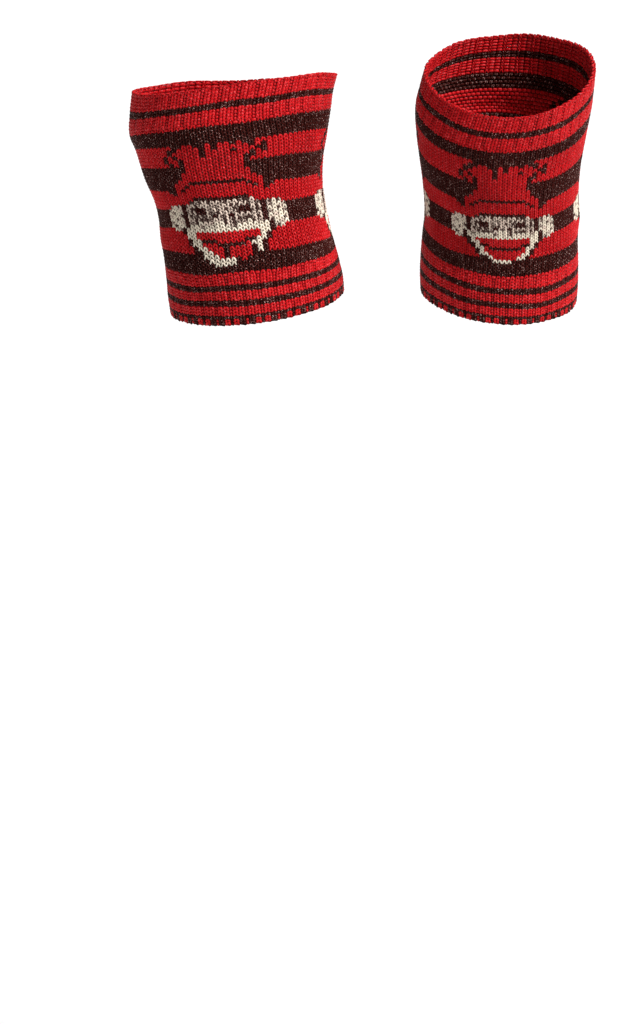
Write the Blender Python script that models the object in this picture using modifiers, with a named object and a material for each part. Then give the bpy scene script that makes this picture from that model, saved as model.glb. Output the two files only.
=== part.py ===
"""A pair of knitted boot cuffs in the shape they are worn in.

Each cuff is a seamless open tube knitted in the round: an upper rib band, a patterned leg panel and a
lower rib band. The wearer faces -Y, so the wearer's right leg is at -X. Heights are measured from the
level of the upper rib bands, where the cuffs grip the legs. All lengths are in metres.
"""

from __future__ import annotations

import math
from typing import NamedTuple

import bmesh
import bpy
import numpy as np
from mathutils import Euler, Vector

COLLECTION_NAME = "knitted_boot_cuffs"

UPPER_RIB_COURSES = 12
PANEL_COURSES = 42
LOWER_RIB_COURSES = 17

RIB_WALL = 0.0024
PANEL_WALL = 0.0020
SEAM_GAP = 0.0003

SEGMENTS_ROUND = 40
COURSES_PER_ROW = 3.6
EDGE_ROW_COURSES = 0.6  # a narrow row at each edge, so that facing edges are cut square to the cloth
SMOOTH_BELOW = math.radians(50)


class Section(NamedTuple):
    """One elliptical ring of a cuff."""

    course: float  # rows of knitting below the top edge
    side: float  # the ring's centre along X
    fore: float  # the ring's centre along Y
    rise: float  # the ring's centre along Z
    half_width: float
    half_depth: float
    dip: float  # degrees by which the front of the ring is tipped down
    roll: float  # degrees by which the +X side of the ring is tipped up
    wave: float  # height of a soft wave in the ring, up and down twice round it
    side_rise: float  # how far the ring's two sides ride up above its front and back


class Fold(NamedTuple):
    """A soft ridge across the cloth, or a trough where its height is negative."""

    course: float
    turn: float  # degrees round from the front, towards +X
    half_courses: float
    half_turn: float
    height: float


class Zone(NamedTuple):
    """A band of one kind of knitting, all round the cuff."""

    name: str
    first_course: int
    courses: int
    wall: float
    material: str


class Finish(NamedTuple):
    """The colour and shine of a knitted zone."""

    name: str
    colour: tuple[float, float, float]
    roughness: float


class Cuff(NamedTuple):
    """One cuff, by the wearer's leg."""

    leg: str
    sections: tuple[Section, ...]
    folds: tuple[Fold, ...]


RIB_FINISH = Finish("rib_knit", (0.50, 0.02, 0.03), 0.85)
PANEL_FINISH = Finish("patterned_knit", (0.26, 0.02, 0.02), 0.85)

ZONES = (
    Zone("upper_rib", 0, UPPER_RIB_COURSES, RIB_WALL, RIB_FINISH.name),
    Zone("leg_panel", UPPER_RIB_COURSES, PANEL_COURSES, PANEL_WALL, PANEL_FINISH.name),
    Zone("lower_rib", UPPER_RIB_COURSES + PANEL_COURSES, LOWER_RIB_COURSES, RIB_WALL, RIB_FINISH.name),
)

RIGHT_CUFF = Cuff(
    leg="right",
    sections=(
        #       course  side     fore     rise    width   depth   dip   roll   wave   side_rise
        Section(0, -0.0945, 0.0025, 0.0212, 0.0708, 0.0660, -5.0, 5.0, 0.0020, 0.0),
        Section(6, -0.0965, 0.0015, 0.0079, 0.0703, 0.0655, -5.6, 6.4, 0.0012, 0.0),
        Section(12, -0.0975, 0.0005, -0.0054, 0.0698, 0.0650, -5.8, 7.2, 0.0005, 0.0),
        Section(18, -0.0965, -0.0005, -0.0187, 0.0662, 0.0625, -5.4, 6.2, 0.0, 0.0),
        Section(26, -0.0948, -0.0015, -0.0368, 0.0622, 0.0600, -4.8, 6.2, 0.0, 0.0),
        Section(34, -0.0920, -0.0020, -0.0543, 0.0585, 0.0580, -4.3, 5.6, 0.0, 0.0),
        Section(42, -0.0885, -0.0020, -0.0720, 0.0578, 0.0575, -3.0, 4.6, 0.0, 0.0),
        Section(48, -0.0860, -0.0015, -0.0851, 0.0584, 0.0580, -0.8, 4.2, 0.0, 0.0),
        Section(54, -0.0840, -0.0010, -0.0980, 0.0594, 0.0585, 2.2, 6.0, 0.0, 0.0),
        Section(60, -0.0820, 0.0000, -0.1093, 0.0604, 0.0590, 3.4, 6.6, 0.0, 0.0),
        Section(66, -0.0803, 0.0010, -0.1206, 0.0611, 0.0590, 4.6, 7.0, 0.0, 0.0),
        Section(71, -0.0793, 0.0020, -0.1308, 0.0608, 0.0585, 5.0, 7.4, 0.0, 0.0),
    ),
    folds=(
        Fold(20, 172, 3.5, 48, 0.0022),
        Fold(29, 190, 3.0, 40, 0.0028),
        Fold(38, 178, 3.5, 52, 0.0020),
        Fold(25, 62, 4.0, 26, -0.0010),
        Fold(46, -75, 4.0, 30, 0.0010),
    ),
)

LEFT_CUFF = Cuff(
    leg="left",
    sections=(
        #       course  side     fore     rise    width   depth   dip   roll   wave   side_rise
        Section(0, 0.0946, -0.0130, 0.0279, 0.0585, 0.0665, 19.0, 3.6, 0.0, 0.0045),
        Section(6, 0.0922, -0.0105, 0.0153, 0.0594, 0.0660, 18.6, 2.1, 0.0, 0.0043),
        Section(12, 0.0903, -0.0080, 0.0029, 0.0602, 0.0650, 18.3, 0.4, 0.0, 0.0042),
        Section(18, 0.0893, -0.0055, -0.0112, 0.0592, 0.0640, 16.6, -0.1, 0.0, 0.0040),
        Section(26, 0.0890, -0.0020, -0.0315, 0.0560, 0.0615, 15.4, -0.7, 0.0, 0.0036),
        Section(34, 0.0897, 0.0010, -0.0500, 0.0537, 0.0595, 13.2, -1.2, 0.0, 0.0028),
        Section(42, 0.0904, 0.0040, -0.0672, 0.0532, 0.0585, 11.8, -0.8, 0.0, 0.0022),
        Section(48, 0.0905, 0.0065, -0.0795, 0.0535, 0.0585, 11.8, -1.4, 0.0, 0.0022),
        Section(54, 0.0902, 0.0085, -0.0924, 0.0542, 0.0588, 12.4, -3.0, 0.0, 0.0024),
        Section(60, 0.0898, 0.0105, -0.1060, 0.0548, 0.0590, 11.6, -4.6, 0.0, 0.0019),
        Section(66, 0.0897, 0.0125, -0.1188, 0.0550, 0.0588, 10.6, -4.4, 0.0, 0.0015),
        Section(71, 0.0897, 0.0140, -0.1288, 0.0546, 0.0582, 10.0, -4.0, 0.0, 0.0013),
    ),
    folds=(
        Fold(22, 186, 3.5, 46, 0.0020),
        Fold(32, 170, 3.0, 42, 0.0026),
        Fold(42, 184, 3.5, 50, 0.0018),
        Fold(19, -68, 4.0, 28, -0.0010),
        Fold(44, 80, 4.0, 30, 0.0010),
    ),
)


def section_at(sections: tuple[Section, ...], course: float) -> Section:
    """Read the sections at any course, as a smooth curve through the rows of the table."""
    known = np.array(sections, dtype=float)
    courses = known[:, 0]
    slopes = np.gradient(known, courses, axis=0)
    i = int(np.clip(np.searchsorted(courses, course, side="right") - 1, 0, len(courses) - 2))
    span = courses[i + 1] - courses[i]
    t = (course - courses[i]) / span
    start = (2 * t**3 - 3 * t**2 + 1) * known[i] + (t**3 - 2 * t**2 + t) * span * slopes[i]
    end = (3 * t**2 - 2 * t**3) * known[i + 1] + (t**3 - t**2) * span * slopes[i + 1]
    return Section(*(start + end))


def fold_height(folds: tuple[Fold, ...], turn: float, course: float) -> float:
    """Add up how far the folds lift the cloth at this place on a cuff."""
    height = 0.0
    for fold in folds:
        across = (course - fold.course) / fold.half_courses
        round_to = math.remainder(math.degrees(turn) - fold.turn, 360) / fold.half_turn
        height += fold.height * math.exp(-(across**2) - round_to**2)
    return height


def cloth_point(cuff: Cuff, turn: float, course: float) -> Vector:
    """Place a point of the outer face of the cloth, by its turn round from the front and its course."""
    ring = section_at(cuff.sections, course)
    lift = fold_height(cuff.folds, turn, course)
    reach_x = (ring.half_width + lift) * math.sin(turn)
    reach_y = -(ring.half_depth + lift) * math.cos(turn)
    around = Vector((reach_x, reach_y, 0.0))
    around.rotate(Euler((math.radians(ring.dip), -math.radians(ring.roll), 0.0)))
    bend = Vector((0.0, 0.0, ring.wave * math.sin(2 * turn) + ring.side_rise * math.sin(turn) ** 2))
    return Vector((ring.side, ring.fore, ring.rise)) + around + bend


def seam_point(cuff: Cuff, turn: float, course: float, into_zone: int) -> Vector:
    """Place a point of a zone's edge, half the seam gap back from the course that it shares."""
    here = cloth_point(cuff, turn, course)
    along = cloth_point(cuff, turn, course + 0.5 * into_zone) - here
    return here + along.normalized() * SEAM_GAP / 2


def zone_rings(cuff: Cuff, zone: Zone) -> list[list[Vector]]:
    """Work out the rings of a zone, from its upper edge to its lower edge."""
    turns = [2 * math.pi * i / SEGMENTS_ROUND for i in range(SEGMENTS_ROUND)]
    last_course = zone.first_course + zone.courses
    rows = round(zone.courses / COURSES_PER_ROW)
    inner = np.linspace(zone.first_course + EDGE_ROW_COURSES, last_course - EDGE_ROW_COURSES, rows + 1)
    rings = [[cloth_point(cuff, turn, course) for turn in turns] for course in inner]
    rings.insert(0, [seam_point(cuff, turn, zone.first_course, 1) for turn in turns])
    rings.append([seam_point(cuff, turn, last_course, -1) for turn in turns])
    return rings


def loft(name: str, rings: list[list[Vector]]) -> bpy.types.Mesh:
    """Join closed rings into an open tube whose faces point outwards."""
    shape = bmesh.new()
    loops = [[shape.verts.new(point) for point in ring] for ring in rings]
    for upper, lower in zip(loops, loops[1:]):
        for i in range(len(upper)):
            j = (i + 1) % len(upper)
            shape.faces.new((upper[i], lower[i], lower[j], upper[j]))
    mesh = bpy.data.meshes.new(name)
    shape.to_mesh(mesh)
    shape.free()
    return mesh


def make_material(finish: Finish) -> bpy.types.Material:
    """Make the Principled material of a knitted zone."""
    material = bpy.data.materials.new(finish.name)
    material.use_nodes = True
    shader = material.node_tree.nodes["Principled BSDF"]
    shader.inputs["Base Color"].default_value = (*finish.colour, 1.0)
    shader.inputs["Roughness"].default_value = finish.roughness
    shader.inputs["Metallic"].default_value = 0.0
    return material


def make_zone(cuff: Cuff, zone: Zone, collection: bpy.types.Collection) -> bpy.types.Object:
    """Build one zone of a cuff as a wall of cloth, open at both ends."""
    name = f"{cuff.leg}_{zone.name}"
    mesh = loft(name, zone_rings(cuff, zone))
    mesh.materials.append(bpy.data.materials[zone.material])
    mesh.shade_smooth()
    mesh.set_sharp_from_angle(angle=SMOOTH_BELOW)
    piece = bpy.data.objects.new(name, mesh)
    collection.objects.link(piece)
    wall = piece.modifiers.new("cloth wall", "SOLIDIFY")
    wall.thickness = zone.wall
    wall.offset = -1.0
    wall.use_even_offset = True
    return piece


def main() -> None:
    """Clear the scene and build both cuffs."""
    for old in list(bpy.data.objects):
        bpy.data.objects.remove(old, do_unlink=True)
    collection = bpy.data.collections.new(COLLECTION_NAME)
    bpy.context.scene.collection.children.link(collection)
    for finish in (RIB_FINISH, PANEL_FINISH):
        make_material(finish)
    for cuff in (RIGHT_CUFF, LEFT_CUFF):
        for zone in ZONES:
            make_zone(cuff, zone, collection)


main()
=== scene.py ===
"""A pair of knitted boot cuffs, dressed stitch by stitch on the forms they have when worn.

Each cuff is knitted in the round from the top down: a rib band, a striped leg panel with a figured
band of animal faces, and a second rib band. The cloth of each zone is a thin wall on the form of its
CAD solid. Every stitch that shows is real yarn on that wall: two slanted legs on a knit stitch, one
bar on a purl stitch.

Places on a cuff are told in knitting: wales, which are columns of stitches counted round it, and
courses, which are rows counted down from the top edge. All lengths are in metres. The wearer faces -Y.
"""

from __future__ import annotations

import logging
import math
from dataclasses import dataclass
from enum import Enum, IntEnum
from typing import Any, NamedTuple

import bpy
import numpy as np
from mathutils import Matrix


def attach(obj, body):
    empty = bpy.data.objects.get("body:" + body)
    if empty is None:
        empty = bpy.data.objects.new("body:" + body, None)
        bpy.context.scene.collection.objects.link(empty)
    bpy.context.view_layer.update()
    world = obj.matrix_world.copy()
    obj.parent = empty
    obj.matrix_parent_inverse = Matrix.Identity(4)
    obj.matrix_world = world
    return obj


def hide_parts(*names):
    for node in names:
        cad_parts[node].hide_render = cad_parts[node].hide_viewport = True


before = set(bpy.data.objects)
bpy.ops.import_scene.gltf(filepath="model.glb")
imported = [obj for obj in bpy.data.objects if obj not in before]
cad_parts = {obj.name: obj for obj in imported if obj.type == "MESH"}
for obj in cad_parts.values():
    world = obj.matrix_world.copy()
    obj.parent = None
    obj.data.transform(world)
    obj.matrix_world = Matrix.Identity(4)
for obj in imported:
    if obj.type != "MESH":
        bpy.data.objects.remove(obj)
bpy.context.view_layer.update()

LOG = logging.getLogger("knitted_boot_cuffs")
BODY = "root"

Array = np.ndarray
Colour = tuple[float, float, float]
Piece = bpy.types.Object
Socket = bpy.types.NodeSocket
Inputs = dict[str | int, Any] | None  # values or links, by name or by number

# ---- The knitting: yarns, stripes and the charted motif ----

WALES_ROUND = 105
RIB_REPEAT = 3  # two knit wales, then one purl wale
PURL_WALE = 2

FLAT_WALE = 0.0033  # the cloth as knitted, before a leg stretches it
FLAT_COURSE = 0.00235


class Yarn(IntEnum):
    """The yarns, numbered as the stitches' yarn attribute has them."""

    RED = 0
    DARK = 1
    CREAM = 2
    MARL = 3


Materials = dict[Yarn, bpy.types.Material]


class Side(Enum):
    """The two sides of the cloth."""

    OUTER = 1
    INNER = -1


class Stripe(NamedTuple):
    """A band of courses in one yarn."""

    yarn: Yarn
    courses: int


def cuff_stripes(first_dark: int) -> tuple[Stripe, ...]:
    """List a cuff's stripes from the top edge down.

    Args:
        first_dark: courses of the panel's first dark stripe, which shares eleven with the red one below it.
    """
    red, dark = Yarn.RED, Yarn.DARK
    upper_rib = ((red, 5), (dark, 2), (red, 5))
    panel = ((dark, first_dark), (red, 11 - first_dark), (dark, 7), (red, 6), (dark, 6), (red, 7), (dark, 5))
    lower_rib = ((red, 4), (dark, 2), (red, 3), (dark, 2), (red, 3), (dark, 1), (red, 2))
    return tuple(Stripe(*stripe) for stripe in upper_rib + panel + lower_rib)


HEM_COURSES = 2  # at the hem both yarns are knitted in turn

CHART_YARNS = {"R": Yarn.RED, "K": Yarn.DARK, "C": Yarn.CREAM, "M": Yarn.MARL}

# A laughing animal face under a tasselled cap, one letter a stitch; a dot leaves the stripe as it is.
CAP_AND_EYES = (
    "......KKKKKKKKKKKK......",
    ".....KKRRKKRKRRKRKK.....",
    "....KK.RRRKRKRRRRRK.K...",
    "....K.RRRRKRRRRKRR.KK...",
    "...K.KRRRRKRRRRRRRK.K...",
    "...K..KRRRRRRRRRRKK.....",
    "....K.KRRRRRRRRRRK......",
    ".......RRRRRRRRRR.......",
    ".......RRRRRRRRRR.......",
    "......RRRRRRRRRRRR......",
    "......RRRRRRRRRRRR......",
    ".....RRRRRRRRRRRRRR.....",
    "....RRRKKKKKKKKKKRRR....",
    "....RRKRRRRRRRRRRKRR....",
    "..KKRKRRRRRRRRRRRRKRKK..",
    "...KRRRRRRRRRRRRRRRRK...",
    "....RRRRRRRRRRRRRRRR....",
    "....RRRKKKKKKKKKKRRR....",
    "....RRMMMMMMMMMMMMRR....",
    ".MCMKMMMMMMMMMMMMMMKMCM.",
    "MCCMKMMKKMMMMMMKKMMKMCCM",
    "CMCCKMMKKMMMMMMKKMMKCCMC",
    "MCCMKMMMMMKMMKMMMMMKMCCM",
)
SMILE = (
    "CCMCKMMMMMMCCMMMMMMKCMCC",
    "MCCKCMCCCCMCCMCCCCMCKCCM",
    "CMCKCCCCCCCCCCCCCCCCKCMC",
    ".CMKKCRRRRRRRRRRRRCCKMC.",
    "....KCCRRRRRRRRRRRCCK...",
    "....KKCKKRRRRRRRKKCK....",
    ".....KCCRKKKKKKKRCCK....",
    "......KCRRRRRRRRRCK.....",
    "......KCCRRRRRRRCCK.....",
    ".......KKCRRRRRCCK......",
    "........KKCCCCKK........",
)
TONGUE = (
    "CCMCKMMMMMMMMMMMMMMKCMCC",
    "MCCMKMMCMMCCMMMMCMMKMCCM",
    "CMCCKCCMCCCCCMCCCCCCKCMC",
    ".CMKCCCCCCCCCCCCCCCCKMC.",
    "...KCCRRRRRRRRRRRRCCK...",
    "....CCRRRRRRRRRRRRCK....",
    "....KCCKKKRRRRRKKCCK....",
    "....KCCRRRKKKKKRCCK.....",
    ".....KCCRRRKRRRRKCK.....",
    ".....KKCCRRKRRRRKCK.....",
    ".......CCCRKRRRRKK......",
    "........CCCCCKRK........",
    ".........CCCC...........",
)
MOTIF_FIRST_COURSE = 16
MOTIF_WALES = 24
MOTIF_PITCH = 32  # from one face to the next, so that the widest gap is at the back
FRONT_MOTIF_WALE = 40  # the first wale of the face at the front
FACE_PLACES = (-1, 0, 1)  # counted round from the face at the front


def yarn_chart(stripes: tuple[Stripe, ...], motif: tuple[str, ...]) -> Array:
    """Chart the yarn number of every stitch of a cuff, by course and wale.

    Args:
        stripes: the cuff's stripes, from the top edge down.
        motif: rows of letters for one face, from its top course down.
    """
    rows = [stripe.yarn for stripe in stripes for _ in range(stripe.courses)]
    chart = np.repeat(np.array(rows, dtype=int)[:, None], WALES_ROUND, axis=1)
    chart[-HEM_COURSES:, ::2] = Yarn.DARK
    for face in FACE_PLACES:
        first_wale = FRONT_MOTIF_WALE + face * MOTIF_PITCH
        for row, letters in enumerate(motif):
            for column, letter in enumerate(letters):
                if letter in CHART_YARNS:
                    chart[MOTIF_FIRST_COURSE + row, first_wale + column] = CHART_YARNS[letter]
    return chart


# ---- The form of the cloth, which repeats that of the CAD solids ----


class Section(NamedTuple):
    """One elliptical ring of a cuff."""

    course: float  # rows of knitting below the top edge
    side: float  # the ring's centre along X
    fore: float  # the ring's centre along Y
    rise: float  # the ring's centre along Z
    half_width: float
    half_depth: float
    dip: float  # degrees by which the front of the ring is tipped down
    roll: float  # degrees by which the +X side of the ring is tipped up
    side_rise: float = 0.0  # how far the ring's two sides ride up above its front and back
    wave: float = 0.0  # height of a soft wave in the ring, up and down twice round it


class Fold(NamedTuple):
    """A soft ridge across the cloth, or a trough where its height is negative."""

    course: float
    turn: float  # degrees round from the front, towards +X
    half_courses: float
    half_turn: float
    height: float


class Frames(NamedTuple):
    """Places on the cloth, each with the directions and the spacing of the knitting there."""

    place: Array
    around: Array  # unit vectors along a course, towards +X at the front
    up: Array  # unit vectors along a wale, towards the top edge
    outward: Array
    wale_pitch: Array
    course_pitch: Array


@dataclass(frozen=True)
class Unevenness:
    """The slight wander of machine-knitted cloth: waves of seeded phase round and down a cuff."""

    seed: int
    wander: float = 0.16  # courses by which a row strays from its level
    swell: float = 0.00022
    waves: int = 7
    most_rounds: int = 8  # times that a wave may repeat round the cuff
    per_course: tuple[float, float] = (0.05, 0.42)  # least and most turn of a wave from course to course

    def fields(self, turns: Array, courses: Array) -> tuple[Array, Array]:
        """Work out the stray of places in courses and their lift in metres, from their angles in radians."""
        draw = np.random.default_rng(self.seed)
        stray = np.zeros_like(turns)
        lift = np.zeros_like(turns)
        for _ in range(self.waves):
            rounds = draw.integers(1, self.most_rounds + 1, size=2)
            per_course = draw.uniform(*self.per_course, size=2)
            phase = draw.uniform(0, 2 * math.pi, size=2)
            stray += np.sin(rounds[0] * turns + per_course[0] * courses + phase[0])
            lift += np.sin(rounds[1] * turns - per_course[1] * courses + phase[1])
        return stray * self.wander / math.sqrt(self.waves), lift * self.swell / math.sqrt(self.waves)


@dataclass(frozen=True)
class ClothForm:
    """The outer face of one cuff's cloth, read at any wale and course."""

    sections: tuple[Section, ...]
    folds: tuple[Fold, ...]
    motif_turn: float  # degrees from the front to the middle of the front face
    front_stretch: float  # share by which the panel is stretched round the front, and eased at the back
    unevenness: Unevenness
    stretch_courses: tuple[int, int] = (8, 62)  # where the stretch begins and ends
    stretch_fade: int = 14  # courses over which it comes in and goes out
    probe: float = 0.1  # how far off, in wales and courses, the cloth's directions are read

    def turns(self, wales: Array, courses: Array) -> Array:
        """Turn wales into angles from the front, in radians, drawn apart where the panel is stretched."""
        centre = FRONT_MOTIF_WALE + MOTIF_WALES / 2
        even = (wales - centre) * 2 * math.pi / WALES_ROUND
        inside = np.minimum(courses - self.stretch_courses[0], self.stretch_courses[1] - courses)
        stretch = self.front_stretch * eased(inside / self.stretch_fade)
        return even + stretch * np.sin(even) + math.radians(self.motif_turn)

    def rings(self, courses: Array) -> Array:
        """Read the table of sections at any courses, as a smooth curve through its rows."""
        known = np.array(self.sections, dtype=float)
        rows = known[:, 0]
        slopes = np.gradient(known, rows, axis=0)
        i = np.clip(np.searchsorted(rows, courses, side="right") - 1, 0, len(rows) - 2)
        span = (rows[i + 1] - rows[i])[:, None]
        t = ((courses - rows[i]) / span[:, 0])[:, None]
        start = (2 * t**3 - 3 * t**2 + 1) * known[i] + (t**3 - 2 * t**2 + t) * span * slopes[i]
        end = (3 * t**2 - 2 * t**3) * known[i + 1] + (t**3 - t**2) * span * slopes[i + 1]
        return start + end

    def fold_lift(self, turns: Array, courses: Array) -> Array:
        """Add up how far the folds lift the cloth at some places."""
        lift = np.zeros_like(turns)
        for fold in self.folds:
            across = (courses - fold.course) / fold.half_courses
            off = np.degrees(turns) - fold.turn
            round_to = (off - 360 * np.round(off / 360)) / fold.half_turn
            lift += fold.height * np.exp(-(across**2) - round_to**2)
        return lift

    def points(self, wales: Array, courses: Array) -> Array:
        """Place a point of the cloth's outer face for each wale and course."""
        turns = self.turns(wales, courses)
        stray, swell = self.unevenness.fields(turns, courses)
        ring = self.rings(courses + stray)
        lift = self.fold_lift(turns, courses) + swell
        _, side, fore, rise, half_width, half_depth, dip, roll, side_rise, wave = ring.T
        dip, roll = np.radians(dip), np.radians(roll)
        x = (half_width + lift) * np.sin(turns)
        y = -(half_depth + lift) * np.cos(turns)
        dipped_y, dipped_z = y * np.cos(dip), y * np.sin(dip)
        rolled_x = x * np.cos(roll) - dipped_z * np.sin(roll)
        rolled_z = x * np.sin(roll) + dipped_z * np.cos(roll)
        bend = wave * np.sin(2 * turns) + side_rise * np.sin(turns) ** 2
        return np.stack([side + rolled_x, fore + dipped_y, rise + rolled_z + bend], axis=1)

    def frames(self, wales: Array, courses: Array) -> Frames:
        """Work out the frame of each wale and course."""
        step = self.probe
        along = (self.points(wales + step, courses) - self.points(wales - step, courses)) / (2 * step)
        rise = (self.points(wales, courses - step) - self.points(wales, courses + step)) / (2 * step)
        wale_pitch = np.linalg.norm(along, axis=1)
        course_pitch = np.linalg.norm(rise, axis=1)
        return Frames(
            self.points(wales, courses),
            along / wale_pitch[:, None],
            rise / course_pitch[:, None],
            unit(np.cross(along, rise)),
            wale_pitch,
            course_pitch,
        )


def unit(vectors: Array) -> Array:
    """Scale vectors to a length of one."""
    return vectors / np.linalg.norm(vectors, axis=1)[:, None]


def eased(share: Array) -> Array:
    """Ease smoothly from 0 to 1, and keep to them beyond."""
    share = np.clip(share, 0, 1)
    return share * share * (3 - 2 * share)


# ---- Nodes: one way to add any node, and shader maths as plain expressions ----


@dataclass(frozen=True)
class Nodes:
    """Adds nodes to one tree."""

    tree: bpy.types.NodeTree

    def add(self, kind: str, settings: Inputs = None, sockets: Inputs = None) -> bpy.types.Node:
        """Add one node.

        Args:
            kind: the node's type.
            settings: its own settings, which are set first.
            sockets: what its inputs take.
        """
        node = self.tree.nodes.new(kind)
        for name, value in (settings or {}).items():
            setattr(node, name, value)
        for key, value in (sockets or {}).items():
            self.feed(self.entry(node, key), value)
        return node

    def get(self, kind: str, settings: Inputs = None, sockets: Inputs = None) -> Socket:
        """Add one node, as add does, and return its first output that is in use."""
        node = self.add(kind, settings, sockets)
        return next(output for output in node.outputs if output.enabled)

    @staticmethod
    def entry(node: bpy.types.Node, key: str | int) -> Socket:
        """Find a node's input by its number, or by its name among the inputs in use."""
        if isinstance(key, int):
            return node.inputs[key]
        return next(entry for entry in node.inputs if entry.name == key and entry.enabled)

    def feed(self, entry: Socket, value: Any) -> None:
        """Link a socket or a Value to an input, or set the input to a constant."""
        if isinstance(value, Value):
            value = value.socket
        if isinstance(value, Socket):
            self.tree.links.new(value, entry)
        else:
            entry.default_value = value


@dataclass(frozen=True)
class Value:
    """A number that varies from place to place, so that maths on it reads as a plain expression."""

    nodes: Nodes
    socket: Socket

    def maths(self, operation: str, *terms: Value | float, clamp: bool = False) -> Value:
        """Add a Math node.

        Args:
            operation: the node's operation.
            terms: its values, in order.
            clamp: whether to keep the result from 0 to 1.
        """
        settings = {"operation": operation, "use_clamp": clamp}
        return Value(self.nodes, self.nodes.get("ShaderNodeMath", settings, dict(enumerate(terms))))

    def __add__(self, other: Value | float) -> Value:
        """Return self + other."""
        return self.maths("ADD", self, other)

    __radd__ = __add__

    def __sub__(self, other: Value | float) -> Value:
        """Return self - other."""
        return self.maths("SUBTRACT", self, other)

    def __rsub__(self, other: float) -> Value:
        """Return other - self."""
        return self.maths("SUBTRACT", other, self)

    def __mul__(self, other: Value | float) -> Value:
        """Return self * other."""
        return self.maths("MULTIPLY", self, other)

    __rmul__ = __mul__

    def sine(self) -> Value:
        """Return the sine of an angle in radians."""
        return self.maths("SINE", self)

    def clamped(self) -> Value:
        """Keep the number from 0 to 1."""
        return self.maths("ADD", self, 0.0, clamp=True)

    def smooth(self, low: float, high: float) -> Value:
        """Ease from 0 at low to 1 at high."""
        settings = {"interpolation_type": "SMOOTHSTEP"}
        sockets = {"Value": self, "From Min": low, "From Max": high}
        return Value(self.nodes, self.nodes.get("ShaderNodeMapRange", settings, sockets))


# ---- Finishes ----


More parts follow.
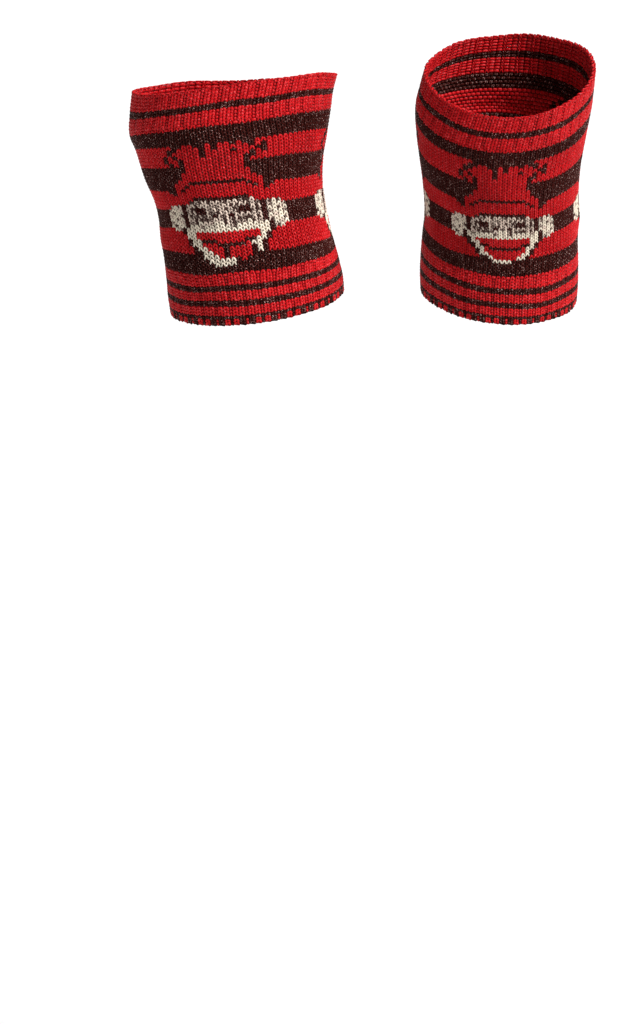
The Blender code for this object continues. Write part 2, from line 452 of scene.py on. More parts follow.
@dataclass(frozen=True)
class YarnFinish:
    """A spun yarn: two plies twisted together, with shade painted darker where they meet and between
    stitches, and glints painted on the crests.
    """

    name: str
    colour: Colour
    hollow_shade: Colour  # painted shade, between the stitches and in the twist, and on the cloth wall
    painted_glint: Colour  # painted glints, as of shiny fibre ends on the crests
    painted_glints: float  # how much the painted glints show
    roughness: float
    gloss: float
    sheen: float
    sheen_tint: Colour
    second_ply: Colour | None = None  # a marl yarn's other colour

    twist_turns: float = 9.0  # radians of twist along half a grain
    twist_slant: float = 3.2  # and across it
    twist_spread: float = 6.3  # and apart, from one leg to another
    fibre_noise: tuple[float, float] = (1500.0, 3.0)  # scale and detail
    dye_noise: tuple[float, float] = (38.0, 2.0)
    crest_edges: tuple[float, float] = (-0.15, 0.8)  # heights on a grain over which its colour goes from the painted shade of its foot to its full colour
    least_tone: float = 0.70  # of the full colour, on the darkest leg
    tone_share: float = 0.25  # how much lighter the lightest leg is
    dye_share: float = 0.45
    fibre_share: float = 0.35
    # share of painted shade in the twist's grooves
    twist_shade: float = 0.16
    glint_tone: float = 0.12  # how much the legs differ in their painted glints
    glint_fibres: tuple[float, float] = (0.55, 0.70)
    glint_plies: tuple[float, float] = (0.35, 0.95)
    glint_crests: tuple[float, float] = (0.45, 0.95)
    ply_twist: float = 0.7  # how much the twist, the leg and the fibres tell where the second ply shows
    ply_tone: float = 1.3
    ply_fibre: float = 0.5
    ply_lead: float = 0.1  # of the yarn's own colour over the second ply's
    ply_edges: tuple[float, float] = (0.30, 0.6)
    roughness_spread: float = 0.25
    sheen_roughness: float = 0.45
    relief: float = 0.00022
    relief_strength: float = 0.7
    twist_relief: float = 0.6  # the rest is fibres

    def make(self) -> bpy.types.Material:
        """Build the yarn's material, which reads the stitches' grain and tone attributes."""
        material = bpy.data.materials.new(self.name)
        material.use_nodes = True
        nodes = Nodes(material.node_tree)
        shader = material.node_tree.nodes["Principled BSDF"]

        grain = nodes.add("ShaderNodeAttribute", {"attribute_name": "grain"}).outputs["Vector"]
        parts = nodes.add("ShaderNodeSeparateXYZ", sockets={"Vector": grain})
        across, along, crest = (Value(nodes, parts.outputs[axis]) for axis in "XYZ")
        tone = Value(nodes, nodes.add("ShaderNodeAttribute", {"attribute_name": "tone"}).outputs["Fac"])
        place = nodes.add("ShaderNodeTexCoord").outputs["Object"]

        twist = along * self.twist_turns + across * self.twist_slant + tone * self.twist_spread
        twist = twist.sine() * 0.5 + 0.5
        fibre = self.noise(nodes, place, *self.fibre_noise)
        dye = self.noise(nodes, place, *self.dye_noise)

        # Painted shade: darker towards each grain's foot, in the twist's grooves and on the cloth wall, which
        # has no grain; dye and fibres vary it at random.
        depth = crest.smooth(*self.crest_edges) * (self.least_tone + self.tone_share * tone)
        depth = depth + (dye - 0.5) * self.dye_share + (fibre - 0.5) * self.fibre_share
        depth = (depth + (twist - 0.5) * self.twist_shade).clamped()
        colour = self.plies(nodes, twist, tone, fibre)
        colour = self.mix(nodes, depth, self.hollow_shade, colour)
        # Painted glints: pale spots on the lighter fibres, along the ply crests near the top of each grain.
        painted_glints = (fibre + (tone - 0.5) * self.glint_tone).smooth(*self.glint_fibres)
        painted_glints = painted_glints * twist.smooth(*self.glint_plies) * crest.smooth(*self.glint_crests) * self.painted_glints
        colour = self.mix(nodes, painted_glints, colour, self.painted_glint)

        roughness = self.roughness + (fibre - 0.5) * self.roughness_spread
        height = twist * self.twist_relief + fibre * (1 - self.twist_relief)
        bump = {"Strength": self.relief_strength, "Distance": self.relief, "Height": height}
        finish = {
            "Base Color": colour,
            "Roughness": roughness.clamped(),
            "Normal": nodes.get("ShaderNodeBump", sockets=bump),
            "Sheen Weight": self.sheen,
            "Sheen Roughness": self.sheen_roughness,
            "Sheen Tint": (*self.sheen_tint, 1.0),
            "Specular IOR Level": self.gloss,
        }
        for name, value in finish.items():
            nodes.feed(shader.inputs[name], value)
        return material

    def plies(self, nodes: Nodes, twist: Value, tone: Value, fibre: Value) -> Any:
        """Colour the two plies, where twist is 0 on one and 1 on the other."""
        if self.second_ply is None:
            return (*self.colour, 1.0)
        share = twist * self.ply_twist + (tone - 0.5) * self.ply_tone + (fibre - 0.5) * self.ply_fibre
        share = (share + self.ply_lead).smooth(*self.ply_edges)
        return self.mix(nodes, share, self.second_ply, self.colour)

    @staticmethod
    def noise(nodes: Nodes, place: Socket, scale: float, detail: float) -> Value:
        """Make noise of one size over the piece."""
        sockets = {"Vector": place, "Scale": scale, "Detail": detail}
        return Value(nodes, nodes.get("ShaderNodeTexNoise", sockets=sockets))

    @staticmethod
    def mix(nodes: Nodes, share: Value, first: Any, second: Any) -> Socket:
        """Mix two colours, from the first at 0 to the second at 1."""
        ends = [(*end, 1.0) if isinstance(end, tuple) and len(end) == 3 else end for end in (first, second)]
        sockets = {"Factor": share, "A": ends[0], "B": ends[1]}
        return nodes.get("ShaderNodeMix", {"data_type": "RGBA"}, sockets)


YARN_FINISHES = {
    Yarn.RED: YarnFinish(
        name="red yarn",
        colour=(0.53, 0.0060, 0.0090),
        hollow_shade=(0.10, 0.0008, 0.0014),
        painted_glint=(1.0, 0.36, 0.38),
        painted_glints=0.36,
        roughness=0.34,
        gloss=0.08,
        sheen=0.02,
        sheen_tint=(1.0, 0.55, 0.58),
    ),
    Yarn.DARK: YarnFinish(
        name="dark brown yarn",
        colour=(0.044, 0.0065, 0.0048),
        hollow_shade=(0.003, 0.0008, 0.0007),
        painted_glint=(0.92, 0.62, 0.56),
        painted_glints=0.62,
        roughness=0.30,
        gloss=0.03,
        sheen=0.0,
        sheen_tint=(1.0, 0.8, 0.78),
    ),
    Yarn.CREAM: YarnFinish(
        name="cream yarn",
        colour=(0.86, 0.75, 0.60),
        hollow_shade=(0.06, 0.035, 0.025),
        painted_glint=(1.0, 0.97, 0.92),
        painted_glints=0.3,
        roughness=0.6,
        gloss=0.18,
        sheen=0.04,
        sheen_tint=(1.0, 0.95, 0.9),
    ),
    Yarn.MARL: YarnFinish(
        name="marl yarn",
        colour=(0.72, 0.57, 0.47),
        hollow_shade=(0.03, 0.013, 0.010),
        painted_glint=(1.0, 0.92, 0.86),
        painted_glints=0.2,
        roughness=0.6,
        gloss=0.12,
        sheen=0.02,
        sheen_tint=(1.0, 0.9, 0.85),
        second_ply=(0.062, 0.024, 0.019),
    ),
}


# ---- Grains of yarn, laid by Geometry Nodes ----


class Grains(NamedTuple):
    """Short lengths of yarn that lie on the cloth, each half sunk in it."""

    places: Array
    lengthways: Array  # unit vectors along each grain
    outward: Array  # unit vectors out of the cloth
    sizes: Array  # half width, half length and rise
    yarns: Array

    @staticmethod
    def joined(several: list[Grains]) -> Grains:
        """Put several sets of grains in one."""
        return Grains(*(np.concatenate(parts) for parts in zip(*several, strict=True)))

    def eulers(self) -> Array:
        """Work out the Euler angles that turn X across each grain, Y along it and Z out of the cloth."""
        across = unit(np.cross(self.lengthways, self.outward))
        out = np.cross(across, self.lengthways)
        pitch = np.arcsin(np.clip(-across[:, 2], -1, 1))
        roll = np.arctan2(self.lengthways[:, 2], out[:, 2])
        yaw = np.arctan2(across[:, 1], across[:, 0])
        return np.stack([roll, pitch, yaw], axis=1)


def grain_sizes(half_width: Array | float, half_length: Array, rise: float) -> Array:
    """Put the sizes of grains side by side."""
    return np.stack(np.broadcast_arrays(half_width, half_length, rise), axis=1)


class GrainNodes(Nodes):
    """Adds Geometry Nodes that are used more than once."""

    def read(self, name: str, kind: str = "FLOAT_VECTOR") -> Socket:
        """Read a named attribute."""
        return self.get("GeometryNodeInputNamedAttribute", {"data_type": kind}, {"Name": name})

    def change(self, shape: Socket, kind: str, settings: Inputs = None, **sockets: Any) -> Socket:
        """Pass the geometry through one node."""
        return self.get(f"GeometryNode{kind}", settings, {"Geometry": shape, **sockets})

    def store(self, shape: Socket, name: str, kind: str, domain: str, value: Any) -> Socket:
        """Store a named attribute on the geometry."""
        settings = {"data_type": kind, "domain": domain}
        return self.change(shape, "StoreNamedAttribute", settings, Name=name, Value=value)

    def vector(self, operation: str, first: Any, key: str | int, second: Any) -> Socket:
        """Do maths on a vector and the value of a second input."""
        return self.get("ShaderNodeVectorMath", {"operation": operation}, {0: first, key: second})

    def compare(self, kind: str, operation: str, first: Any, second: Any) -> Socket:
        """Compare two numbers."""
        settings = {"data_type": kind, "operation": operation}
        return self.get("FunctionNodeCompare", settings, {"A": first, "B": second})

    def drawn(self, seed: Any, low: Any, high: Any, kind: str = "FLOAT") -> Socket:
        """Draw a number, or a vector, for each point."""
        sockets = {"Min": low, "Max": high, "Seed": seed}
        return self.get("FunctionNodeRandomValue", {"data_type": kind}, sockets)

    def rotation(self, angles: Any) -> Socket:
        """Turn Euler angles into a rotation."""
        return self.get("FunctionNodeEulerToRotation", sockets={"Euler": angles})


@dataclass(frozen=True)
class GrainLayer:
    """The Geometry Nodes tree that lays one half-round grain of yarn on each point of a mesh."""

    sides: int = 8  # round the whole grain, of which half is kept
    rings: int = 3
    fullness: float = 1.15  # how far the grain keeps its width towards its ends
    middle: float = 0.9  # of its half length, within which it is widened
    underside: float = -0.01  # the height below which its faces are cut away
    size_jitter: float = 0.07
    turn_jitter: float = 0.06
    seed: int = 11
    cell_shape: float = 2.2  # columns for each row in the flat map
    cell_share: float = 0.46  # half of a cell, less its margin
    helpers: tuple[str, ...] = ("turned", "size", "cell", "yarn")  # attributes that the tree alone reads

    def tree(self, inputs: dict[str, float], yarns: list[Yarn], materials: Materials) -> bpy.types.NodeTree:
        """Build the tree for points in some yarns.

        Args:
            inputs: its inputs' names and values.
            yarns: the yarns in use.
            materials: the material of each yarn.
        """
        tree = bpy.data.node_groups.new("grains of yarn", "GeometryNodeTree")
        face = tree.interface
        face.new_socket("Geometry", in_out="INPUT", socket_type="NodeSocketGeometry")
        for name, value in inputs.items():
            kind = "NodeSocketInt" if isinstance(value, int) else "NodeSocketFloat"
            face.new_socket(name, in_out="INPUT", socket_type=kind).default_value = value
        face.new_socket("Geometry", in_out="OUTPUT", socket_type="NodeSocketGeometry")
        nodes = GrainNodes(tree)
        given = nodes.add("NodeGroupInput").outputs

        grain = self.half_grain(nodes, given)
        jitter = Value(nodes, given["Size Jitter"])
        size = nodes.drawn(given["Seed"], 1 - jitter, 1 + jitter)
        size = nodes.vector("SCALE", nodes.read("size"), "Scale", size)
        turn = Value(nodes, given["Turn Jitter"])
        wobble = nodes.drawn(given["Seed"], 0 - turn, turn, "FLOAT_VECTOR")
        turned = {"Rotation": nodes.rotation(nodes.read("turned")), "Rotate By": nodes.rotation(wobble)}
        rotation = nodes.get("FunctionNodeRotateRotation", {"rotation_space": "LOCAL"}, turned)
        laid = {"Points": given["Geometry"], "Instance": grain, "Rotation": rotation, "Scale": size}
        shape = nodes.get("GeometryNodeInstanceOnPoints", sockets=laid)
        shape = nodes.store(shape, "tone", "FLOAT", "INSTANCE", nodes.drawn(given["Seed"], 0.0, 1.0))
        shape = nodes.change(shape, "RealizeInstances")
        shape = nodes.store(shape, "OFBake", "FLOAT2", "CORNER", self.map_place(nodes, given))
        shape = nodes.change(shape, "SetShadeSmooth")
        for yarn in yarns:
            chosen = nodes.compare("INT", "EQUAL", nodes.read("yarn", "INT"), int(yarn))
            shape = nodes.change(shape, "SetMaterial", Selection=chosen, Material=materials[yarn])
        nodes.add("NodeGroupOutput", sockets={"Geometry": shape})
        return tree

    def half_grain(self, nodes: GrainNodes, given: Any) -> Socket:
        """Shape one grain: a round-ended half tube along Y, open underneath.

        Its own coordinates are kept in the grain attribute.
        """
        ball = {"Segments": given["Sides"], "Rings": given["Rings"], "Radius": 1.0}
        shape = nodes.get("GeometryNodeMeshUVSphere", sockets=ball)
        shape = nodes.change(shape, "Transform", Rotation=(math.pi / 2, 0.0, 0.0))
        spot = nodes.get("GeometryNodeInputPosition")
        parts = nodes.add("ShaderNodeSeparateXYZ", sockets={"Vector": spot}).outputs
        under = nodes.compare("FLOAT", "LESS_THAN", parts["Z"], self.underside)
        shape = nodes.change(shape, "DeleteGeometry", {"domain": "FACE"}, Selection=under)
        reach = Value(nodes, parts["Y"]).maths("ABSOLUTE", parts["Y"])
        middle = nodes.compare("FLOAT", "LESS_THAN", reach, self.middle)
        wide = nodes.vector("SCALE", spot, "Scale", given["Fullness"])
        shape = nodes.change(shape, "SetPosition", Selection=middle, Position=wide)
        return nodes.store(shape, "grain", "FLOAT_VECTOR", "POINT", nodes.get("GeometryNodeInputPosition"))

    def map_place(self, nodes: GrainNodes, given: Any) -> Socket:
        """Place each corner in the flat map, where every grain has a cell of its own."""
        size = {"X": given["Cell Width"], "Y": given["Cell Height"]}
        size = nodes.get("ShaderNodeCombineXYZ", sockets=size)
        spot = nodes.vector("MULTIPLY", nodes.read("grain"), 1, size)
        return nodes.vector("ADD", spot, 1, nodes.read("cell"))

    def lay(self, name: str, grains: Grains, materials: Materials) -> Piece:
        """Lay the grains and turn them into one plain mesh."""
        count = len(grains.places)
        columns = math.ceil(math.sqrt(count * self.cell_shape))
        rows = math.ceil(count / columns)
        number = np.arange(count)
        across, down = (number % columns + 0.5) / columns, (number // columns + 0.5) / rows
        cell = np.stack([across, down, 0 * across], axis=1)

        mesh = bpy.data.meshes.new(name)
        mesh.from_pydata(grains.places.tolist(), [], [])
        for label, values in (("turned", grains.eulers()), ("size", grains.sizes), ("cell", cell)):
            attribute = mesh.attributes.new(label, "FLOAT_VECTOR", "POINT")
            attribute.data.foreach_set("vector", values.astype(np.float32).ravel())
        attribute = mesh.attributes.new("yarn", "INT", "POINT")
        attribute.data.foreach_set("value", grains.yarns.astype(np.int32))
        points = add_object(name, mesh)

        inputs = {
            "Sides": self.sides,
            "Rings": self.rings,
            "Seed": self.seed,
            "Fullness": self.fullness,
            "Size Jitter": self.size_jitter,
            "Turn Jitter": self.turn_jitter,
            "Cell Width": self.cell_share / columns / self.fullness,
            "Cell Height": self.cell_share / rows,
        }
        used = [yarn for yarn in Yarn if (grains.yarns == yarn).any()]
        points.modifiers.new("grains of yarn", "NODES").node_group = self.tree(inputs, used, materials)
        graph = bpy.context.evaluated_depsgraph_get()
        evaluated = points.evaluated_get(graph)
        made = bpy.data.meshes.new_from_object(evaluated, preserve_all_data_layers=True, depsgraph=graph)
        points.modifiers.clear()
        points.data = made
        made.name = name
        bpy.data.meshes.remove(mesh)
        for helper in self.helpers:
            if helper in made.attributes:
                made.attributes.remove(made.attributes[helper])
        return points


def add_object(name: str, data: bpy.types.ID) -> Piece:
    """Put a mesh, a light or a camera in the scene, at the origin."""
    piece = bpy.data.objects.new(name, data)
    bpy.context.scene.collection.objects.link(piece)
    return piece


# ---- The zones of a cuff ----


@dataclass(frozen=True)
class Gauge:
    """The sizes of the stitches on the cloth, as shares of the spacing or in metres."""

    leg_offset: float = 0.230  # of a wale, from the stitch's middle to each leg's
    leg_half_width: float = 0.172  # of a wale
    rib_fullness: float = 1.4  # how much wider the legs are where the ribs draw the cloth together
    leg_half_length: float = 0.86  # of a course
    leg_slant: float = math.radians(24)
    leg_tilt: float = math.radians(7)  # by which the joined end of the legs stands out
    leg_rise: float = 0.00105
    bar_half_width: float = 0.50  # of a course
    bar_half_length: float = 0.56  # of a wale
    bar_rise: float = 0.00100
    sunk: float = 0.0001  # how deep a grain's foot lies in the cloth


@dataclass(frozen=True)
class Zone:
    """A band of one kind of knitting, all round a cuff."""

    name: str
    first_course: int
    courses: int
    slot: str
    ribbed: bool

    cloth_below: float = 0.0007  # from the stitches' crests down to the cloth wall
    wall: float = 0.0009
    rib_height: float = 0.00014
    rib_squareness: float = 0.3
    rib_squeeze: float = 0.36  # how much a purl wale is narrowed and the knit wales widened
    squeeze_squareness: float = 0.45
    rib_fade: float = 1.5  # courses over which the ribs rise from a flat panel
    edge_gap: float = 0.03  # courses left free at each edge of a zone's wall
    sharp_edge: float = math.radians(60)

    @property
    def last_course(self) -> int:
        """The course at which the zone ends."""
        return self.first_course + self.courses

    def ribbing(self, courses: Array) -> Array:
        """Work out how much the ribs show, from 0 on a plain panel to 1 well inside a rib band."""
        if not self.ribbed:
            return np.zeros_like(courses, dtype=float)
        join = PANEL_ZONE.first_course if self.first_course == 0 else PANEL_ZONE.last_course
        return eased(np.abs(courses - join) / self.rib_fade)

    def relief(self, wales: Array, courses: Array) -> Array:
        """Work out how far the ribs lift the cloth, most between two knit wales and least on a purl wale."""
        phase = 2 * math.pi * (wales - 1) / RIB_REPEAT
        shape = np.cos(phase) - self.rib_squareness * np.cos(2 * phase)
        return self.rib_height * shape * self.ribbing(courses)

    def frames(self, form: ClothForm, wales: Array, courses: Array) -> Frames:
        """Read the cuff's form with the purl wales drawn together, as the ribs do."""
        phase = 2 * math.pi * (wales - PURL_WALE - 0.5) / RIB_REPEAT
        squeeze = self.rib_squeeze * self.ribbing(courses)
        pull = np.sin(phase) + self.squeeze_squareness / 2 * np.sin(2 * phase)
        easing = np.cos(phase) + self.squeeze_squareness * np.cos(2 * phase)
        frames = form.frames(wales - squeeze * pull * RIB_REPEAT / (2 * math.pi), courses)
        return frames._replace(wale_pitch=frames.wale_pitch * (1 - squeeze * easing))

    def cloth_mesh(self, form: ClothForm, chart: Array, materials: Materials, name: str) -> bpy.types.Mesh:
        """Build the zone's cloth as a thin wall, closed along both edges.

        Both its sides have a face for each stitch or half stitch, in the yarn that the chart gives it. With
        no grain attribute, each face takes its yarn's painted hollow shade, a dark painted shadow between the
        stitches.
        """
        per_wale = 2 if self.ribbed else 1
        columns = WALES_ROUND * per_wale
        lines = np.linspace(self.first_course, self.last_course, self.courses + 1)
        lines[0] += self.edge_gap
        lines[-1] -= self.edge_gap
        wales, courses = np.meshgrid(np.arange(columns) / per_wale, lines)
        wales, courses = wales.ravel(), courses.ravel()
        frames = self.frames(form, wales, courses)
        lift = (self.relief(wales, courses) - self.cloth_below)[:, None]
        outer = frames.place + frames.outward * lift
        inner = frames.place + frames.outward * (lift - self.wall)

        here = np.arange(columns)
        beyond = (here + 1) % columns
        rows = np.arange(self.courses)[:, None] * columns
        corners = [rows + here, rows + columns + here, rows + columns + beyond, rows + beyond]
        face_out = np.stack(corners, axis=2).reshape(-1, 4)
        face_in = face_out[:, ::-1] + len(outer)
        last = self.courses * columns
        top = np.stack([here, beyond, beyond + len(outer), here + len(outer)], axis=1)
        hem = np.stack([here, here + len(outer), beyond + len(outer), beyond], axis=1) + last
        faces = np.concatenate([face_out, face_in, top, hem])

        band = np.repeat(chart[self.first_course : self.last_course], per_wale, axis=1)
        yarns = np.concatenate([band.ravel(), band.ravel(), band[0], band[-1]])
        used = [yarn for yarn in Yarn if (yarns == yarn).any()]
        mesh = bpy.data.meshes.new(name)
        mesh.from_pydata(np.concatenate([outer, inner]).tolist(), [], faces.tolist())
        for yarn in used:
            mesh.materials.append(materials[yarn])
        mesh.polygons.foreach_set("material_index", np.searchsorted(used, yarns).astype(np.int32))
        mesh.shade_smooth()
        mesh.set_sharp_from_angle(angle=self.sharp_edge)
        return mesh


UPPER_ZONE = Zone("upper_rib", 0, 12, "rib_knit", ribbed=True)
PANEL_ZONE = Zone("leg_panel", 12, 42, "patterned_knit", ribbed=False)
LOWER_ZONE = Zone("lower_rib", 54, 17, "rib_knit", ribbed=True)
ZONES = (UPPER_ZONE, PANEL_ZONE, LOWER_ZONE)


@dataclass(frozen=True)
class ClothSide:
    """The yarn that shows on one side of a zone's cloth."""

    zone: Zone
    form: ClothForm
    chart: Array  # the yarn of every stitch of the cuff
    side: Side
    gauge: Gauge

    def stitches(self) -> Grains:
        """Lay out two legs for each knit stitch and one bar for each purl stitch, as seen from this side."""
        rows = np.arange(self.zone.first_course, self.zone.last_course)
        courses = np.repeat(rows, WALES_ROUND)
        wales = np.tile(np.arange(WALES_ROUND), self.zone.courses)
        knit = wales % RIB_REPEAT != PURL_WALE if self.zone.ribbed else np.ones(len(wales), dtype=bool)
        if self.side is Side.INNER:
            knit = ~knit
        several = []
        if knit.any():
            for lean in (-1, 1):
                several.append(self.legs(wales[knit], courses[knit], lean))
        if not knit.all():
            several.append(self.bars(wales[~knit], courses[~knit]))
        return Grains.joined(several)

    def footing(self, wales: Array, courses: Array) -> Frames:
        """Work out the frames of grains that stand on this side of the cloth."""
        frames = self.zone.frames(self.form, wales, courses)
        depth = self.zone.relief(wales, courses) - self.zone.cloth_below
        if self.side is Side.OUTER:
            depth = depth - self.gauge.sunk
        else:
            depth = depth - self.zone.wall + self.gauge.sunk
        place = frames.place + frames.outward * depth[:, None]
        return frames._replace(place=place, outward=frames.outward * self.side.value)

    def legs(self, wales: Array, courses: Array, lean: int) -> Grains:
        """Lay out one leg of each knit stitch, leaning in towards the stitch's upper end.

        Args:
            wales: the stitches' wales.
            courses: the stitches' courses.
            lean: -1 for the leg on the lower-numbered wale's side and 1 for the other.
        """
        gauge = self.gauge
        middle, level = wales + 0.5 + lean * gauge.leg_offset, courses + 0.5
        frames = self.footing(middle, level)
        run = unit(frames.up * math.cos(gauge.leg_slant) - frames.around * lean * math.sin(gauge.leg_slant))
        run = unit(run * math.cos(gauge.leg_tilt) + frames.outward * math.sin(gauge.leg_tilt))
        fullness = 1 + (gauge.rib_fullness - 1) * self.zone.ribbing(level)
        half_width = gauge.leg_half_width * fullness * frames.wale_pitch
        sizes = grain_sizes(half_width, gauge.leg_half_length * frames.course_pitch, gauge.leg_rise)
        return Grains(frames.place, run, frames.outward, sizes, self.chart[courses, wales])

    def bars(self, wales: Array, courses: Array) -> Grains:
        """Lay out the bar of each purl stitch, half a wale along in every second course of a plain panel."""
        shift = 0.0 if self.side is Side.OUTER or self.zone.ribbed else 0.5
        middle, level = wales + 0.5 + shift * (courses % 2), courses + 0.5
        frames = self.footing(middle, level)
        half_width = self.gauge.bar_half_width * frames.course_pitch
        sizes = grain_sizes(half_width, self.gauge.bar_half_length * frames.wale_pitch, self.gauge.bar_rise)
        return Grains(frames.place, frames.around, frames.outward, sizes, self.chart[courses, wales])


@dataclass(frozen=True)
class EdgeChain:
    """The chain of loops along the cast-on edge or the hem."""

    zone: Zone
    at_top: bool

    half_width: float = 0.00085
    half_length: float = 0.66  # of a wale
    rise: float = 0.0010
    slant: float = math.radians(28)
    sunk: float = 0.0002  # how deep its foot lies in the cloth's edge

    def grains(self, form: ClothForm, chart: Array) -> Grains:
        """Lay out the chain, one slanting loop on each wale."""
        numbers = np.arange(WALES_ROUND)
        level = 0 if self.at_top else self.zone.last_course
        wales, courses = numbers + 0.5, np.full(WALES_ROUND, float(level))
        frames = self.zone.frames(form, wales, courses)
        depth = self.zone.relief(wales, courses) - self.zone.cloth_below - self.zone.wall / 2
        out = frames.up if self.at_top else -frames.up
        places = frames.place + frames.outward * depth[:, None] - out * self.sunk
        run = unit(frames.around * math.cos(self.slant) + frames.outward * math.sin(self.slant))
        sizes = grain_sizes(self.half_width, self.half_length * frames.wale_pitch, self.rise)
        return Grains(places, run, out, sizes, chart[max(level - 1, 0), numbers])


# ---- The cuffs ----


@dataclass(frozen=True)
class Cuff:
    """One cuff, by the wearer's leg."""

    leg: str
    form: ClothForm
    stripes: tuple[Stripe, ...]
    motif: tuple[str, ...]
    gauge: Gauge = Gauge()
    layer: GrainLayer = GrainLayer()

    def build(self, materials: Materials) -> None:
        """Build and dress all zones of the cuff."""
        chart = yarn_chart(self.stripes, self.motif)
        for zone in ZONES:
            node = f"{self.leg}_{zone.name}"
            mesh = zone.cloth_mesh(self.form, chart, materials, f"{node}_cloth")
            cloth = add_object(f"{node}_cloth", mesh)
            yarn_pieces = self.yarn_pieces(zone, node, chart, materials)
            for piece in (cloth, *yarn_pieces):
                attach(piece, BODY)
                LOG.info("%s: %d faces", piece.name, len(piece.data.polygons))
            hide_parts(node)
            flat = (WALES_ROUND * FLAT_WALE, zone.courses * FLAT_COURSE)

    def yarn_pieces(self, zone: Zone, node: str, chart: Array, materials: Materials) -> list[Piece]:
        """Lay the stitches of both sides of a zone, and the edge chain where it has one."""
        pieces = []
        for side, label in ((Side.OUTER, "stitches"), (Side.INNER, "inside_stitches")):
            stitches = ClothSide(zone, self.form, chart, side, self.gauge).stitches()
            pieces.append(self.layer.lay(f"{node}_{label}", stitches, materials))
        if zone is not PANEL_ZONE:
            chain = EdgeChain(zone, at_top=zone is UPPER_ZONE)
            pieces.append(self.layer.lay(f"{node}_edge_chain", chain.grains(self.form, chart), materials))
        return pieces


RIGHT_CUFF = Cuff(
    leg="right",
    form=ClothForm(
        sections=(
            # course, side, fore, rise, half width, half depth, dip, roll, side rise, wave
            Section(0, -0.0945, 0.0025, 0.0212, 0.0708, 0.0660, -5.0, 5.0, 0.0, 0.0020),
            Section(6, -0.0965, 0.0015, 0.0079, 0.0703, 0.0655, -5.6, 6.4, 0.0, 0.0012),
            Section(12, -0.0975, 0.0005, -0.0054, 0.0698, 0.0650, -5.8, 7.2, 0.0, 0.0005),
            Section(18, -0.0965, -0.0005, -0.0187, 0.0662, 0.0625, -5.4, 6.2),
            Section(26, -0.0948, -0.0015, -0.0368, 0.0622, 0.0600, -4.8, 6.2),
            Section(34, -0.0920, -0.0020, -0.0543, 0.0585, 0.0580, -4.3, 5.6),
            Section(42, -0.0885, -0.0020, -0.0720, 0.0578, 0.0575, -3.0, 4.6),
            Section(48, -0.0860, -0.0015, -0.0851, 0.0584, 0.0580, -0.8, 4.2),
            Section(54, -0.0840, -0.0010, -0.0980, 0.0594, 0.0585, 2.2, 6.0),
            Section(60, -0.0820, 0.0000, -0.1093, 0.0604, 0.0590, 3.4, 6.6),
            Section(66, -0.0803, 0.0010, -0.1206, 0.0611, 0.0590, 4.6, 7.0),
            Section(71, -0.0793, 0.0020, -0.1308, 0.0608, 0.0585, 5.0, 7.4),
        ),
        folds=(
            Fold(20, 172, 3.2, 48, 0.0032),
            Fold(29, 190, 2.8, 40, 0.0040),
            Fold(38, 178, 3.2, 52, 0.0029),
            Fold(25, 62, 4.0, 26, -0.0010),
            Fold(46, -75, 4.0, 30, 0.0010),
        ),
        motif_turn=-11.0,
        front_stretch=0.12,
        unevenness=Unevenness(seed=3),
    ),
    stripes=cuff_stripes(first_dark=5),
    motif=CAP_AND_EYES + TONGUE,
)

LEFT_CUFF = Cuff(
    leg="left",
    form=ClothForm(
        sections=(
            # course, side, fore, rise, half width, half depth, dip, roll, side rise, wave
            Section(0, 0.0946, -0.0130, 0.0279, 0.0585, 0.0665, 19.0, 3.6, 0.0045),
            Section(6, 0.0922, -0.0105, 0.0153, 0.0594, 0.0660, 18.6, 2.1, 0.0043),
            Section(12, 0.0903, -0.0080, 0.0029, 0.0602, 0.0650, 18.3, 0.4, 0.0042),
            Section(18, 0.0893, -0.0055, -0.0112, 0.0592, 0.0640, 16.6, -0.1, 0.0040),
            Section(26, 0.0890, -0.0020, -0.0315, 0.0560, 0.0615, 15.4, -0.7, 0.0036),
            Section(34, 0.0897, 0.0010, -0.0500, 0.0537, 0.0595, 13.2, -1.2, 0.0028),
            Section(42, 0.0904, 0.0040, -0.0672, 0.0532, 0.0585, 11.8, -0.8, 0.0022),
            Section(48, 0.0905, 0.0065, -0.0795, 0.0535, 0.0585, 11.8, -1.4, 0.0022),
            Section(54, 0.0902, 0.0085, -0.0924, 0.0542, 0.0588, 12.4, -3.0, 0.0024),
            Section(60, 0.0898, 0.0105, -0.1060, 0.0548, 0.0590, 11.6, -4.6, 0.0019),
            Section(66, 0.0897, 0.0125, -0.1188, 0.0550, 0.0588, 10.6, -4.4, 0.0015),
            Section(71, 0.0897, 0.0140, -0.1288, 0.0546, 0.0582, 10.0, -4.0, 0.0013),
        ),
        folds=(
            Fold(22, 186, 3.2, 46, 0.0030),
            Fold(32, 170, 2.8, 42, 0.0038),
            Fold(42, 184, 3.2, 50, 0.0027),
            Fold(19, -68, 4.0, 28, -0.0010),
            Fold(44, 80, 4.0, 30, 0.0010),
        ),
        motif_turn=-1.5,
        front_stretch=0.0,
        unevenness=Unevenness(seed=5),
    ),
    stripes=cuff_stripes(first_dark=4),
    motif=CAP_AND_EYES + SMILE,
)


# ---- The studio ----


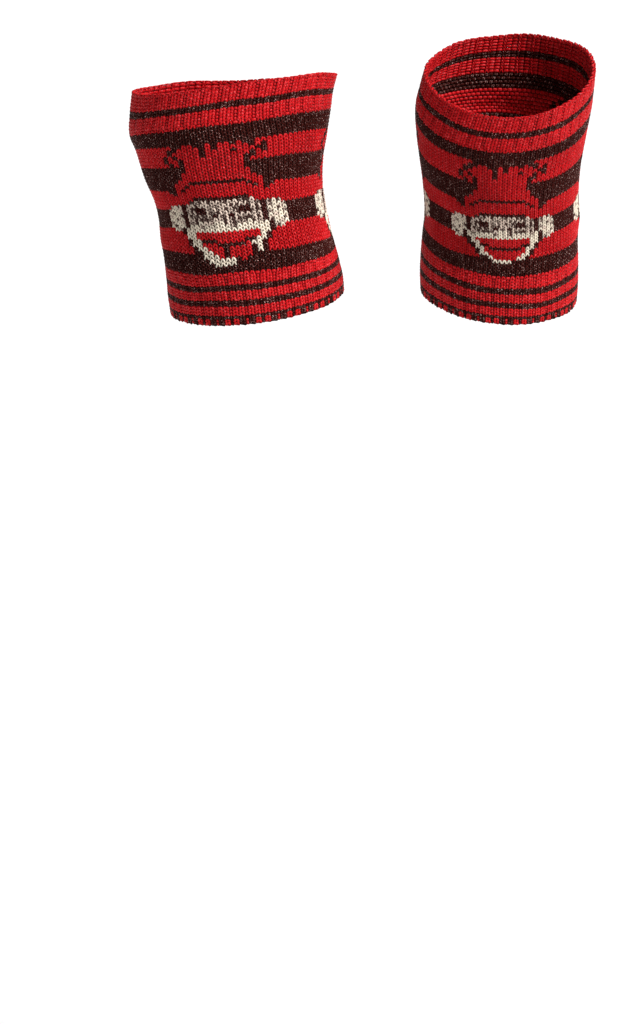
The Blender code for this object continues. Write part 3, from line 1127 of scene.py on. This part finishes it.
@dataclass(frozen=True)
class Studio:
    """A plain pale floor under soft light, and the camera in front of the wearer's legs."""

    floor_level: float = -0.80
    floor_radius: float = 14.0
    floor_sides: int = 96
    floor_roughness: float = 0.9
    floor_colour: Colour = (0.80, 0.80, 0.80)
    sky_colour: Colour = (1.0, 1.0, 1.0)
    sky_strength: float = 0.22
    key_strength: float = 5.4
    key_azimuth: float = math.radians(54)  # round from the front, towards the wearer's left
    key_height: float = math.radians(47)
    key_spread: float = math.radians(16)
    camera_distance: float = 2.6
    camera_height: float = math.radians(7)  # of the line from the origin to the camera
    camera_dip: float = math.radians(13.056)  # it looks at the shins, so the cuffs are high in the frame
    camera_side: float = -0.0417
    camera_clip: tuple[float, float] = (0.05, 100.0)
    lens: float = 131.8

    def build(self) -> None:
        """Make the floor, the lights and the camera."""
        self.make_floor()
        self.make_lights()
        self.make_camera()

    def make_floor(self) -> None:
        """Lay a round floor."""
        mesh = bpy.data.meshes.new("floor")
        turns = np.linspace(0, 2 * math.pi, self.floor_sides, endpoint=False)
        level = np.full(len(turns), self.floor_level)
        ring = np.stack([self.floor_radius * np.cos(turns), self.floor_radius * np.sin(turns), level], axis=1)
        mesh.from_pydata(ring.tolist(), [], [list(range(len(turns)))])
        material = bpy.data.materials.new("pale floor")
        material.use_nodes = True
        shader = material.node_tree.nodes["Principled BSDF"]
        shader.inputs["Base Color"].default_value = (*self.floor_colour, 1.0)
        shader.inputs["Roughness"].default_value = self.floor_roughness
        mesh.materials.append(material)
        add_object("floor", mesh)

    def make_lights(self) -> None:
        """Light the scene from all round, and more strongly from the wearer's left front."""
        world = bpy.data.worlds.new("studio")
        world.use_nodes = True
        sky = world.node_tree.nodes["Background"].inputs
        sky["Color"].default_value = (*self.sky_colour, 1.0)
        sky["Strength"].default_value = self.sky_strength
        bpy.context.scene.world = world
        light = bpy.data.lights.new("key", "SUN")
        light.energy = self.key_strength
        light.angle = self.key_spread
        turn = (math.pi / 2 - self.key_height, 0.0, self.key_azimuth)
        add_object("key", light).rotation_euler = turn

    def make_camera(self) -> None:
        """Set the camera level with the knees, looking down at the shins."""
        lens = bpy.data.cameras.new("camera")
        lens.lens = self.lens
        lens.clip_start, lens.clip_end = self.camera_clip
        camera = add_object("camera", lens)
        reach = self.camera_distance
        fore, rise = -reach * math.cos(self.camera_height), reach * math.sin(self.camera_height)
        camera.location = (self.camera_side, fore, rise)
        camera.rotation_euler = (math.pi / 2 - self.camera_dip, 0.0, 0.0)
        bpy.context.scene.camera = camera


def main() -> None:
    """Build the cuffs and the studio."""
    logging.basicConfig(level=logging.INFO, format="%(name)s: %(message)s")
    bpy.context.scene.view_settings.view_transform = "Standard"
    materials = {yarn: finish.make() for yarn, finish in YARN_FINISHES.items()}
    for cuff in (RIGHT_CUFF, LEFT_CUFF):
        cuff.build(materials)
    Studio().build()


if __name__ == "__main__":
    main()
